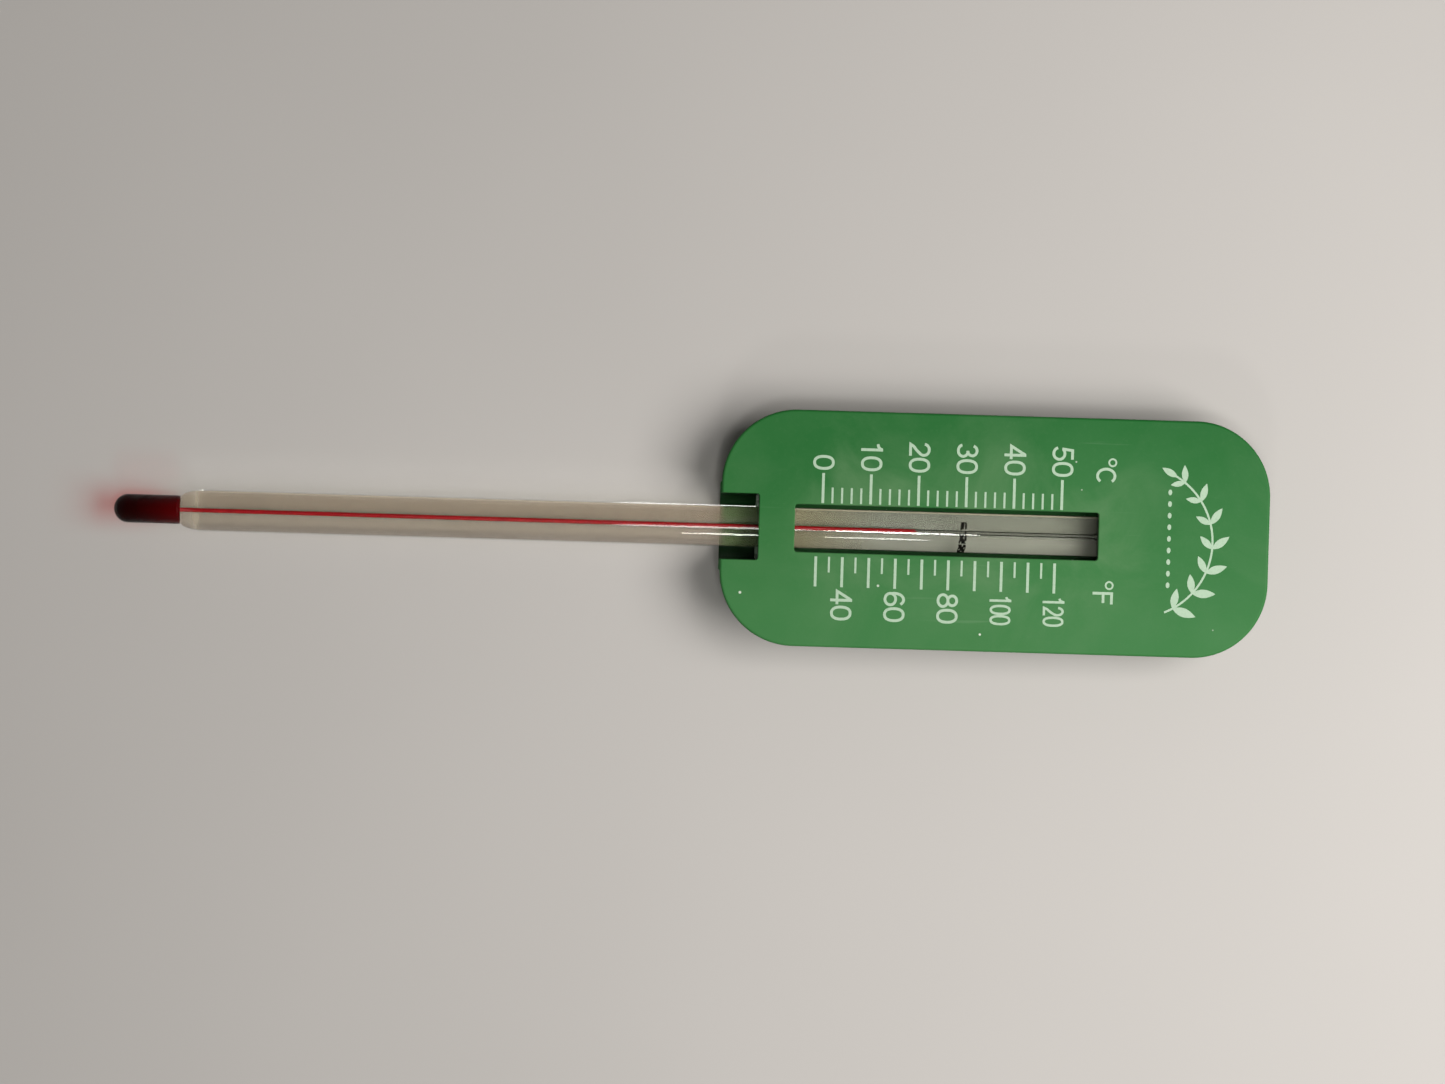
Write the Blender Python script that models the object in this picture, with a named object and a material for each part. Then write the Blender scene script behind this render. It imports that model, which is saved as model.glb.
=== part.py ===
"""Glass spirit thermometer in a green moulded holder, lying face up.

The tube runs along X, with its bulb at the -X end and the holder's plate at the +X end, and +Z points out of
the printed face. The origin is at the bottom centre of the whole object, and every length is in metres.
"""

import math

import bmesh
import bpy
from mathutils import Vector

# The whole object
LENGTH = 0.170
HEIGHT = 0.010
LEFT = -LENGTH / 2
RIGHT = LENGTH / 2

# The holder's plate
PLATE_LENGTH = 0.0804
PLATE_WIDTH = 0.0347
PLATE_THICKNESS = 0.0015
PLATE_CORNER = 0.011
PLATE_LEFT = RIGHT - PLATE_LENGTH
PLATE_BACK = HEIGHT - PLATE_THICKNESS
FRONT_ROUNDING = 0.0004
BACK_ROUNDING = 0.0002

# The two openings in the plate, through which the tube is seen, and the bridge between them
NOTCH_DEPTH = 0.00555
NOTCH_WIDTH = 0.0097
BRIDGE_WIDTH = 0.0053
WINDOW_LENGTH = 0.0445
WINDOW_WIDTH = 0.0070
NOTCH_END = PLATE_LEFT + NOTCH_DEPTH
WINDOW_LEFT = NOTCH_END + BRIDGE_WIDTH
WINDOW_RIGHT = WINDOW_LEFT + WINDOW_LENGTH
OPENING_CORNER = 0.0004
OPENING_CHAMFER = 0.00015

# The trough behind the plate: half round inside, with a flat along its bottom to stand on
TROUGH_INNER = NOTCH_WIDTH / 2
TROUGH_OUTER = 0.0066
TROUGH_FLOOR = 0.0015
TROUGH_END_WALL = 0.0015
TROUGH_OVERHANG = 0.0002
TROUGH_END_ROOM = 0.0010
TROUGH_CENTRE = TROUGH_FLOOR + TROUGH_INNER
TROUGH_LEFT = PLATE_LEFT - TROUGH_OVERHANG
TROUGH_ROUNDING = 0.0004
SADDLE_THICKNESS = 0.0012
SADDLE_TOP = TROUGH_CENTRE + 0.0003
FRONT_SADDLE_LEFT = WINDOW_LEFT - SADDLE_THICKNESS - 0.0006
REAR_SADDLE_LEFT = WINDOW_RIGHT + 0.0004

# The glass
STEM_RADIUS = 0.003075
STEM_LEFT = LEFT + 0.010
STEM_RIGHT = WINDOW_RIGHT + 0.0025
STEM_END_ROUNDING = 0.0008
SHOULDER_LENGTH = 0.0035
SHOULDER_FULLNESS = 0.6
STEM_BELOW_PLATE = 0.00008
AXIS_HEIGHT = PLATE_BACK - STEM_BELOW_PLATE - STEM_RADIUS
BULB_RADIUS = 0.002125
BULB_WALL = 0.00035
BORE_RADIUS = 0.00021
BORE_RIGHT = WINDOW_RIGHT + 0.0015
EXPANSION_RADIUS = 0.0004
EXPANSION_LENGTH = 0.0012
EXPANSION_TAPER = 0.0006
EXPANSION_ROUNDING = 0.0002

# The enamel behind the bore
ENAMEL_WIDTH = 0.0036
ENAMEL_THICKNESS = 0.00025
ENAMEL_DEPTH = 0.0009
ENAMEL_LEFT = STEM_LEFT + 0.0004
ENAMEL_TIP_WIDTH = 0.0026

# The scale: 0.7 mm for each degree Celsius
ZERO_CELSIUS = WINDOW_LEFT + 0.0040
PER_DEGREE = 0.0007
REST_READING = 20
REST_LEVEL = ZERO_CELSIUS + REST_READING * PER_DEGREE
FULL_LEVEL = ZERO_CELSIUS + 50 * PER_DEGREE
MARK_READING = 30
MARK_WIDTH = 0.0013
MARK_THICKNESS = 0.00006
MARK_HALF_ANGLE = math.radians(62)

# The spirit: the moving column runs inside the standing one, which ends below the scale's zero
COLUMN_RADIUS = 0.000195
RISER_BORE = 0.000175
RISER_RADIUS = 0.00016
RISER_OVERLAP = 0.002
COLUMN_RIGHT = ZERO_CELSIUS - 0.0003
RISER_LENGTH = FULL_LEVEL - COLUMN_RIGHT + RISER_OVERLAP
HOLLOW_LEFT = ZERO_CELSIUS - RISER_LENGTH - RISER_OVERLAP
MENISCUS_DEPTH = 0.00008

# The adhesive that fixes the tube in the trough: two beads, the first of which shows in the notch
BEAD_LENGTH = 0.0016
BEAD_TOP = 0.0009
BEAD_ROUNDING = 0.0002
FRONT_BEAD_LEFT = NOTCH_END - 0.00045
REAR_BEAD_LEFT = STEM_RIGHT - 0.0009

# The gap between pieces that touch, and how far a cutter goes past what it cuts
GAP = 0.00003
SEAT_RADIUS = STEM_RADIUS + 2 * GAP
PAST = 0.001

# How finely round shapes are divided
STEM_SIDES = 40
BORE_SIDES = 12
PLATE_CORNER_STEPS = 10
OPENING_CORNER_STEPS = 3
RIM_STEPS = 3
END_STEPS = 4
TROUGH_STEPS = 14
SHOULDER_STEPS = 10
TIP_STEPS = 9
MARK_STEPS = 20
BEAD_STEPS = 24

# A round tip ends in a small flat, of this share of its first ring's radius
TIP_FLAT_SHARE = 1 / 3


def clear_scene():
    for obj in list(bpy.data.objects):
        bpy.data.objects.remove(obj)


def material(name, colour, roughness, metallic=0.0, transmission=0.0):
    made = bpy.data.materials.new(name)
    made.use_nodes = True
    shader = made.node_tree.nodes["Principled BSDF"]
    shader.inputs["Base Color"].default_value = (*colour, 1.0)
    shader.inputs["Roughness"].default_value = roughness
    shader.inputs["Metallic"].default_value = metallic
    shader.inputs["Transmission Weight"].default_value = transmission
    return made


def arc(centre, radius, start, end, steps):
    """Points of a circle's arc as (u, v), from one angle to another in radians."""
    angles = [start + (end - start) * i / steps for i in range(steps + 1)]
    return [(centre[0] + radius * math.cos(a), centre[1] + radius * math.sin(a)) for a in angles]


def rounded_rectangle(left, right, width, radius, steps):
    """The outline of a rectangle centred on the X axis, anticlockwise from its lower right corner."""
    top = width / 2 - radius
    points = arc((right - radius, -top), radius, -math.pi / 2, 0, steps)
    points += arc((right - radius, top), radius, 0, math.pi / 2, steps)
    points += arc((left + radius, top), radius, math.pi / 2, math.pi, steps)
    points += arc((left + radius, -top), radius, math.pi, 1.5 * math.pi, steps)
    return points


def flat_ring(outline, height):
    return [Vector((x, y, height)) for x, y in outline]


def cross_ring(outline, x):
    return [Vector((x, y, z)) for y, z in outline]


def circle_ring(x, radius, sides):
    angles = [2 * math.pi * i / sides for i in range(sides)]
    return [Vector((x, radius * math.cos(a), radius * math.sin(a))) for a in angles]


def loft(name, rings, parent=None):
    """A closed body through rings of equally many points, with a flat cap on the first and the last."""
    body = bmesh.new()
    rows = [[body.verts.new(point) for point in ring] for ring in rings]
    count = len(rows[0])
    for before, after in zip(rows, rows[1:]):
        for i in range(count):
            j = (i + 1) % count
            body.faces.new((before[i], before[j], after[j], after[i]))
    body.faces.new(rows[0])
    body.faces.new(rows[-1])
    bmesh.ops.recalc_face_normals(body, faces=body.faces)
    mesh = bpy.data.meshes.new(name)
    body.to_mesh(mesh)
    body.free()
    obj = bpy.data.objects.new(name, mesh)
    bpy.context.scene.collection.objects.link(obj)
    obj.parent = parent
    return obj


def turned(name, profile, sides, parent=None):
    """A body of revolution about the X axis, through (x, radius) points."""
    return loft(name, [circle_ring(x, radius, sides) for x, radius in profile], parent)


def combine(target, operation, tool):
    """Joins or cuts the target with a helper, which stays in the scene as a hidden guide."""
    tool.hide_render = True
    tool.display_type = "WIRE"
    modifier = target.modifiers.new(tool.name, "BOOLEAN")
    modifier.operation = operation
    modifier.solver = "EXACT"
    modifier.object = tool


def finish(obj, finish_material, smooth_below=math.radians(35)):
    obj.data.materials.append(finish_material)
    obj.data.shade_smooth()
    obj.data.set_sharp_from_angle(angle=smooth_below)


def rim_steps(rounding, steps):
    """Inset and height of a quarter circle, from the rim's flat (fully inset) to its side (no inset)."""
    angles = [math.pi / 2 * (1 - i / steps) for i in range(steps + 1)]
    return [(rounding * (1 - math.cos(a)), rounding * math.sin(a)) for a in angles]


def rounded_slab(name, left, right, width, corner, bottom, top, bottom_rounding, top_rounding):
    """A slab with rounded corners, whose two rims are rounded over as quarter circles."""
    rings = []
    for inset, height in rim_steps(bottom_rounding, RIM_STEPS):
        rings.append((inset, bottom + bottom_rounding - height))
    for inset, height in reversed(rim_steps(top_rounding, END_STEPS)):
        rings.append((inset, top - top_rounding + height))
    outlines = [
        (rounded_rectangle(left + d, right - d, width - 2 * d, corner - d, PLATE_CORNER_STEPS), z)
        for d, z in rings
    ]
    return loft(name, [flat_ring(outline, z) for outline, z in outlines])


def trough_outline(radius, floor, top):
    """A half round that is flat below the height floor and has straight sides up to the height top."""
    reach = math.acos(min(1.0, (TROUGH_CENTRE - floor) / radius))
    half = arc((0.0, TROUGH_CENTRE), radius, -math.pi / 2 + reach, 0, TROUGH_STEPS)
    right_side = half + [(radius, top)]
    left_side = [(-y, z) for y, z in reversed(right_side)]
    if reach < 1e-6:
        left_side.pop()
    return right_side + left_side


def opening_cutter(name, left, right, width):
    """A rectangular opening through the plate, chamfered at its front edge."""
    deep = PLATE_BACK - PAST
    rim = HEIGHT - OPENING_CHAMFER
    levels = [(0.0, deep), (0.0, rim), (OPENING_CHAMFER + PAST / 2, HEIGHT + PAST / 2)]
    outlines = [
        (rounded_rectangle(left - d, right + d, width + 2 * d, OPENING_CORNER + d, OPENING_CORNER_STEPS), z)
        for d, z in levels
    ]
    return loft(name, [flat_ring(outline, z) for outline, z in outlines])


def saddle(name, left):
    """A web across the trough that carries the tube, before its seat is cut."""
    outline = trough_outline(TROUGH_INNER + PAST / 2, TROUGH_FLOOR - PAST / 2, SADDLE_TOP)
    return loft(name, [cross_ring(outline, left), cross_ring(outline, left + SADDLE_THICKNESS)])


def trough_shell(right):
    """The outside of the trough, from the plate's left edge to the height of the plate's middle."""
    inside_plate = HEIGHT - PLATE_THICKNESS / 2
    rings = []
    for inset, reach in rim_steps(TROUGH_ROUNDING, RIM_STEPS):
        rings.append((inset, TROUGH_LEFT + TROUGH_ROUNDING - reach))
    for inset, reach in reversed(rim_steps(TROUGH_ROUNDING, RIM_STEPS)):
        rings.append((inset, right - TROUGH_ROUNDING + reach))
    sections = [cross_ring(trough_outline(TROUGH_OUTER - d, d, inside_plate), x) for d, x in rings]
    return loft("trough_shell", sections)


def trough_channel(right):
    outline = trough_outline(TROUGH_INNER, TROUGH_FLOOR, PLATE_BACK)
    return loft("trough_channel", [cross_ring(outline, x) for x in (TROUGH_LEFT - PAST, right)])


def make_holder(green):
    holder = rounded_slab(
        "holder",
        PLATE_LEFT,
        RIGHT,
        PLATE_WIDTH,
        PLATE_CORNER,
        PLATE_BACK,
        HEIGHT,
        BACK_ROUNDING,
        FRONT_ROUNDING,
    )
    channel_right = STEM_RIGHT + TROUGH_END_ROOM
    notch = opening_cutter("notch_cutter", TROUGH_LEFT - PAST, NOTCH_END, NOTCH_WIDTH)
    window = opening_cutter("window_cutter", WINDOW_LEFT, WINDOW_RIGHT, WINDOW_WIDTH)
    seat = turned("saddle_seat", [(NOTCH_END, SEAT_RADIUS), (channel_right, SEAT_RADIUS)], STEM_SIDES)
    seat.location.z = AXIS_HEIGHT
    combine(holder, "UNION", trough_shell(channel_right + TROUGH_END_WALL))
    combine(holder, "DIFFERENCE", trough_channel(channel_right))
    combine(holder, "DIFFERENCE", notch)
    combine(holder, "DIFFERENCE", window)
    combine(holder, "UNION", saddle("front_saddle", FRONT_SADDLE_LEFT))
    combine(holder, "UNION", saddle("rear_saddle", REAR_SADDLE_LEFT))
    combine(holder, "DIFFERENCE", seat)
    finish(holder, green)


def stem_profile():
    """From the closed end of the bore, out through the shoulder and along the outside to the sealed end."""
    chamber_left = BORE_RIGHT - EXPANSION_LENGTH
    profile = [
        (BORE_RIGHT, BORE_RADIUS / 2),
        (BORE_RIGHT - EXPANSION_ROUNDING, EXPANSION_RADIUS),
        (chamber_left, EXPANSION_RADIUS),
        (chamber_left - EXPANSION_TAPER, BORE_RADIUS),
        (STEM_LEFT, BORE_RADIUS),
    ]
    swell = STEM_RADIUS - BULB_RADIUS
    for i in range(SHOULDER_STEPS + 1):
        share = i / SHOULDER_STEPS
        rise = math.sin(math.pi / 2 * share) ** SHOULDER_FULLNESS
        profile.append((STEM_LEFT + SHOULDER_LENGTH * share, BULB_RADIUS + swell * rise))
    for inset, reach in reversed(rim_steps(STEM_END_ROUNDING, END_STEPS)):
        profile.append((STEM_RIGHT - STEM_END_ROUNDING + reach, STEM_RADIUS - inset))
    return profile


def make_stem(glass, tube):
    stem = turned("glass_stem", stem_profile(), STEM_SIDES, tube)
    slot = enamel_ribbon("enamel_slot", GAP, STEM_RIGHT + PAST, tube)
    combine(stem, "DIFFERENCE", slot)
    finish(stem, glass)


def enamel_ribbon(name, allowance, right, tube):
    """A flat ribbon behind the bore, narrower where the glass narrows towards the bulb."""
    top = -ENAMEL_DEPTH + ENAMEL_THICKNESS / 2 + allowance
    bottom = -ENAMEL_DEPTH - ENAMEL_THICKNESS / 2 - allowance
    rings = []
    for x, width in (
        (ENAMEL_LEFT - allowance, ENAMEL_TIP_WIDTH),
        (STEM_LEFT + SHOULDER_LENGTH, ENAMEL_WIDTH),
        (right, ENAMEL_WIDTH),
    ):
        half = width / 2 + allowance
        outline = [(-half, bottom), (half, bottom), (half, top), (-half, top)]
        rings.append(cross_ring(outline, x))
    return loft(name, rings, tube)


def make_enamel(white, tube):
    strip = enamel_ribbon("enamel_strip", 0.0, STEM_RIGHT - STEM_END_ROUNDING / 2, tube)
    finish(strip, white)


def bulb_shape(radius, left):
    """The outside of a round-ended cylinder, from its tip to where it becomes straight."""
    angles = [math.pi / 2 * i / TIP_STEPS for i in range(TIP_STEPS + 1)]
    tip = [(left + radius * (1 - math.cos(a)), radius * math.sin(a)) for a in angles]
    return [(left, tip[1][1] * TIP_FLAT_SHARE)] + tip[1:]


def make_bulb(glass, tube):
    outside = bulb_shape(BULB_RADIUS, LEFT)
    inside = bulb_shape(BULB_RADIUS - BULB_WALL, LEFT + BULB_WALL)
    end = STEM_LEFT - GAP
    profile = outside + [(end, BULB_RADIUS), (end, BULB_RADIUS - BULB_WALL)]
    profile += list(reversed(inside))
    bulb = turned("glass_bulb", profile, STEM_SIDES, tube)
    finish(bulb, glass)


def make_bulb_spirit(red, tube):
    body = bulb_shape(BULB_RADIUS - BULB_WALL - GAP, LEFT + BULB_WALL + GAP)
    end = STEM_LEFT - 2 * GAP
    body.append((end, BULB_RADIUS - BULB_WALL - GAP))
    finish(turned("bulb_spirit", body, STEM_SIDES, tube), red)


def make_spirit_column(red, tube):
    """The standing column, hollow towards its top, and the rod that slides in it and carries the meniscus."""
    column = [
        (STEM_LEFT + GAP, COLUMN_RADIUS),
        (COLUMN_RIGHT, COLUMN_RADIUS),
        (COLUMN_RIGHT, RISER_BORE),
        (HOLLOW_LEFT, RISER_BORE),
    ]
    finish(turned("spirit_column_lower", column, BORE_SIDES, tube), red)
    riser = [
        (-RISER_LENGTH, RISER_RADIUS),
        (0.0, RISER_RADIUS),
        (-MENISCUS_DEPTH, RISER_RADIUS / 2),
    ]
    moving = turned("spirit_column", riser, BORE_SIDES, tube)
    moving.location.x = REST_LEVEL
    finish(moving, red)


def make_setting_mark(black, tube):
    """A painted band across the front of the stem, which sets the tube against the printed scale."""
    start = math.pi / 2 - MARK_HALF_ANGLE
    end = math.pi / 2 + MARK_HALF_ANGLE
    inner_radius = STEM_RADIUS + GAP
    inner = arc((0.0, 0.0), inner_radius, end, start, MARK_STEPS)
    outer = arc((0.0, 0.0), inner_radius + MARK_THICKNESS, start, end, MARK_STEPS)
    right = ZERO_CELSIUS + MARK_READING * PER_DEGREE + MARK_WIDTH / 4
    rings = [cross_ring(outer + inner, x) for x in (right - MARK_WIDTH, right)]
    finish(loft("setting_mark", rings, tube), black)


def make_bead(name, left, clear):
    """Adhesive lying in the trough under the tube, as a crescent from side to side."""
    lift = AXIS_HEIGHT - TROUGH_CENTRE
    right = left + BEAD_LENGTH
    rings = []
    for inset, x in (
        (BEAD_ROUNDING, left),
        (0.0, left + BEAD_ROUNDING),
        (0.0, right - BEAD_ROUNDING),
        (BEAD_ROUNDING, right),
    ):
        outer_radius = TROUGH_INNER - GAP - inset
        inner_radius = STEM_RADIUS + GAP + inset
        top = BEAD_TOP + lift - inset
        outer_reach = math.asin(top / outer_radius)
        inner_reach = math.asin((top - lift) / inner_radius)
        outer = arc((0.0, TROUGH_CENTRE), outer_radius, -math.pi - outer_reach, outer_reach, BEAD_STEPS)
        inner = arc((0.0, AXIS_HEIGHT), inner_radius, inner_reach, -math.pi - inner_reach, BEAD_STEPS)
        rings.append(cross_ring(outer + inner, x))
    finish(loft(name, rings), clear)


def main():
    clear_scene()
    green = material("green_plastic", (0.045, 0.20, 0.05), 0.42)
    glass = material("clear_glass", (0.95, 0.96, 0.93), 0.03, transmission=1.0)
    white = material("white_enamel", (0.78, 0.76, 0.66), 0.35)
    red = material("red_spirit", (0.35, 0.004, 0.008), 0.1, transmission=0.4)
    black = material("black_paint", (0.02, 0.02, 0.02), 0.6)
    clear = material("clear_adhesive", (0.55, 0.57, 0.50), 0.25, transmission=0.5)

    tube = bpy.data.objects.new("tube", None)
    bpy.context.scene.collection.objects.link(tube)
    tube.location.z = AXIS_HEIGHT

    make_holder(green)
    make_stem(glass, tube)
    make_enamel(white, tube)
    make_bulb(glass, tube)
    make_bulb_spirit(red, tube)
    make_spirit_column(red, tube)
    make_setting_mark(black, tube)
    make_bead("front_adhesive", FRONT_BEAD_LEFT, clear)
    make_bead("rear_adhesive", REAR_BEAD_LEFT, clear)


main()
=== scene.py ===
"""The looks of a glass spirit thermometer in a green moulded holder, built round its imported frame.

Everything is in metres, in the frame's own axes: +X runs along the tube from the bulb to the holder, and +Z
points out of the printed face.
"""

import math

import bmesh
import bpy
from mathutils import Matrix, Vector


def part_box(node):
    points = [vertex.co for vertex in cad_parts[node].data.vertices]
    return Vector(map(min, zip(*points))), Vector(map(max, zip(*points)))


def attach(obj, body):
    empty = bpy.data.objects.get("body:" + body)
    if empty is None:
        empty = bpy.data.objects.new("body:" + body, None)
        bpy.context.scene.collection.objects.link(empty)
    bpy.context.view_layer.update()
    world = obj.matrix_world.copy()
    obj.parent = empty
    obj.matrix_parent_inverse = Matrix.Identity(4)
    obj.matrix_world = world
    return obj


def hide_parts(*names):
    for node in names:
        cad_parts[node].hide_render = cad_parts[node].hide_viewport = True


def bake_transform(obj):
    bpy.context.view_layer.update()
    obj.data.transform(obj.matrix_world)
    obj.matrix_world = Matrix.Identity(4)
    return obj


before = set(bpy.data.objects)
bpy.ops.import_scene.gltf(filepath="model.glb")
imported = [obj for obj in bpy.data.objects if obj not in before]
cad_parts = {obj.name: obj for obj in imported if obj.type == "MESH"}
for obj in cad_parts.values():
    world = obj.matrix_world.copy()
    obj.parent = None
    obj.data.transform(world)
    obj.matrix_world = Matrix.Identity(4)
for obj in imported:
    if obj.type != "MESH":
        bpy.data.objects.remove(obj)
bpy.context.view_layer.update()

# Places read from the frame
HOLDER_LOW, HOLDER_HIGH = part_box("holder")
STEM_LOW, STEM_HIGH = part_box("glass_stem")
BULB_LOW, BULB_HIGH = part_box("glass_bulb")
ENAMEL_LOW, ENAMEL_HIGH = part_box("enamel_strip")
MARK_LOW, MARK_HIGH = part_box("setting_mark")
COLUMN_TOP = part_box("spirit_column")[1].x

FACE = HOLDER_HIGH.z
AXIS = (STEM_LOW.z + STEM_HIGH.z) / 2
STEM_RADIUS = (STEM_HIGH.y - STEM_LOW.y) / 2
BULB_RADIUS = (BULB_HIGH.y - BULB_LOW.y) / 2

# The holder's plate and its openings
PLATE_THICKNESS = 0.0015
PLATE_CORNER = 0.011
PLATE_BACK_EDGE = 0.0002
PLATE_FRONT_EDGE = 0.0004
PLATE_BACK = FACE - PLATE_THICKNESS
TROUGH_OVERHANG = 0.0002
PLATE_LEFT = HOLDER_LOW.x + TROUGH_OVERHANG
PLATE_WIDTH = HOLDER_HIGH.y - HOLDER_LOW.y
NOTCH_DEPTH = 0.00555
NOTCH_END = PLATE_LEFT + NOTCH_DEPTH
NOTCH_WIDTH = 0.0097
BRIDGE_LENGTH = 0.0053
WINDOW_LEFT = NOTCH_END + BRIDGE_LENGTH
WINDOW_LENGTH = 0.0445
WINDOW_RIGHT = WINDOW_LEFT + WINDOW_LENGTH
WINDOW_WIDTH = 0.0070
OPENING_CORNER = 0.0004
OPENING_EDGE = 0.00018
OPENING_FLARE = 0.0001

# The trough behind the plate, the saddles in it and the moulding's ejector marks
TROUGH_INNER = NOTCH_WIDTH / 2
TROUGH_OUTER = 0.0066
TROUGH_FLOOR = 0.0015
TROUGH_CENTRE = TROUGH_FLOOR + TROUGH_INNER
TROUGH_PAST_TUBE = 0.0025
TROUGH_RIGHT = STEM_HIGH.x + TROUGH_PAST_TUBE
TROUGH_END_WALL = 0.0015
TROUGH_EDGE = 0.0004
SADDLE_LENGTH = 0.0012
SADDLE_INTO_WALL = 0.0005
SADDLE_TOP = TROUGH_CENTRE + 0.0003
SADDLE_PLACES = (WINDOW_LEFT - 0.0018, WINDOW_RIGHT + 0.0004)
SEAT_SIDES = 64
SEAT_GAP = 0.00006
SEAT_PAST_TUBE = 0.0005
EJECTOR_RADIUS = 0.0016
EJECTOR_DEPTH = 0.00006
EJECTOR_PLACES = ((0.014, 0.0125), (0.038, 0.0125), (0.062, 0.0125), (0.0765, 0.009))

# The glass
BORE_SLOT = 1
BULB_SLOT = 2
TUBE_SIDES = 96
BULB_WALL = 0.00035
BULB_STRAIGHT_END = STEM_LOW.x - 0.0007
FUSED_SEAM = STEM_LOW.x - 0.0002
FUSED_SEAM_SHRINK = 0.985
SHOULDER = 0.0035
SHOULDER_FULLNESS = 0.6
TUBE_END_EDGE = 0.0008
TUBE_END_ROOM = 0.001
BORE_RADIUS = 0.00021
BORE_RIGHT = WINDOW_RIGHT + 0.0015
NECK_LENGTH = 0.0006
NECK = STEM_LOW.x - NECK_LENGTH
CHAMBER_RADIUS = 0.0004
CHAMBER_LENGTH = 0.0012
CHAMBER_TAPER = 0.0008

# The enamel, the spirit and the painted mark
ENAMEL_TIP_WIDTH = 0.0026
ENAMEL_DISH = 0.0001
ENAMEL_EDGE_THINNING = 0.6
SPIRIT_SIDES = 72
SPIRIT_INTO_GLASS = 0.00002
SPIRIT_ROOT = 0.0001
THREAD_SIDES = 20
THREAD_INTO_GLASS = 0.000006
THREAD_INTO_BULB = 0.0001
MENISCUS_LENGTH = 0.0003
MARK_COLUMNS = 30
MARK_ROWS = 110
MARK_UPPER_EDGE = math.radians(60)
MARK_LOWER_EDGE = math.radians(162)
PAINT_INNER = STEM_RADIUS + 0.000008
PAINT_OUTER = STEM_RADIUS + 0.00003

# The printed scale
REST_READING = 20
PER_DEGREE = 0.0007
ZERO_CELSIUS = COLUMN_TOP - REST_READING * PER_DEGREE
INK_HEIGHT = 0.00003
INK_SINK = 0.00002
CELSIUS_EDGE = WINDOW_WIDTH / 2 + 0.00025
FAHRENHEIT_EDGE = -WINDOW_WIDTH / 2 - 0.0006
LONG_TICK = 0.0044
SHORT_TICK = 0.0023
LONG_TICK_WIDTH = 0.0004
SHORT_TICK_WIDTH = 0.0003
NUMERAL_HEIGHT = 0.0032
NUMERAL_STROKE = 0.00041
NUMERAL_GAP = 0.0004
NUMERAL_PITCH = 0.71
THREE_DIGITS_CONDENSED = 0.66
THREE_DIGITS_STROKE = 0.85

# The sprig emblem
SPRIG_CENTRE = (0.0655, -0.0005)
SPRIG_RADIUS = 0.0112
SPRIG_REACH = math.radians(60)
SPRIG_STROKE = 0.00030
SPRIG_TAIL = 0.12
LEAF_PAIRS = 7
LEAF_SPREAD = 0.85
LEAF_SPAN = 0.93
LEAF_SHRINK = 0.28
INNER_LEAF = (0.0036, 0.0015)
OUTER_LEAF = (0.0030, 0.0013)
TIP_LEAF = (0.0026, 0.0011)
TIP_LEAF_BACK = 0.02
SEED_COUNT = 9
SEED_PITCH = 0.0017
SEED_FIRST = (0.0703, 0.0068)
SEED_RADII = (0.00028, 0.00042)

# How far a cutter runs past what it cuts
PAST = 0.001


# ---------------------------------------------------------------- shapes


def link(obj):
    bpy.context.scene.collection.objects.link(obj)
    return obj


def raw_object(name, body):
    """A new object, whose faces keep the way they point."""
    mesh = bpy.data.meshes.new(name)
    body.to_mesh(mesh)
    body.free()
    return link(bpy.data.objects.new(name, mesh))


def mesh_object(name, body):
    """A new object, whose faces all point out."""
    bmesh.ops.recalc_face_normals(body, faces=body.faces)
    return raw_object(name, body)


def add_loft(body, rings):
    rows = [[body.verts.new(point) for point in ring] for ring in rings]
    count = len(rows[0])
    for before, after in zip(rows, rows[1:]):
        for i in range(count):
            j = (i + 1) % count
            body.faces.new((before[i], before[j], after[j], after[i]))
    body.faces.new(rows[0])
    body.faces.new(rows[-1])


def loft(name, rings):
    body = bmesh.new()
    add_loft(body, rings)
    return mesh_object(name, body)


def circle_ring(x, radius, sides):
    """A ring round the tube's axis."""
    angles = [2 * math.pi * i / sides for i in range(sides)]
    return [Vector((x, radius * math.cos(a), AXIS + radius * math.sin(a))) for a in angles]


def arc(centre, radius, start, end, steps):
    angles = [start + (end - start) * i / steps for i in range(steps + 1)]
    return [(centre[0] + radius * math.cos(a), centre[1] + radius * math.sin(a)) for a in angles]


def rounded_rectangle(left, right, width, radius, steps):
    top = width / 2 - radius
    points = arc((right - radius, -top), radius, -math.pi / 2, 0, steps)
    points += arc((right - radius, top), radius, 0, math.pi / 2, steps)
    points += arc((left + radius, top), radius, math.pi / 2, math.pi, steps)
    points += arc((left + radius, -top), radius, math.pi, 1.5 * math.pi, steps)
    return points


def flat_ring(outline, height):
    return [Vector((x, y, height)) for x, y in outline]


def cross_ring(outline, x):
    return [Vector((x, y, z)) for y, z in outline]


def quarter_round(rounding, steps):
    """Inset and reach round a quarter circle, from a solid's end face to its side."""
    angles = [math.pi / 2 * (1 - i / steps) for i in range(steps + 1)]
    return [(rounding * (1 - math.cos(a)), rounding * math.sin(a)) for a in angles]


def rounded_start(place, rounding, steps):
    """Inset and place of each ring from a solid's low end to its straight side."""
    return [(inset, place + rounding - reach) for inset, reach in quarter_round(rounding, steps)]


def rounded_finish(place, rounding, steps):
    """Inset and place of each ring from a solid's straight side to its high end."""
    return [(inset, place - rounding + reach) for inset, reach in reversed(quarter_round(rounding, steps))]


def bake_modifiers(obj):
    """Applies the modifiers of an object to its mesh."""
    graph = bpy.context.evaluated_depsgraph_get()
    mesh = bpy.data.meshes.new_from_object(obj.evaluated_get(graph))
    obj.modifiers.clear()
    old = obj.data
    obj.data = mesh
    bpy.data.meshes.remove(old)


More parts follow.
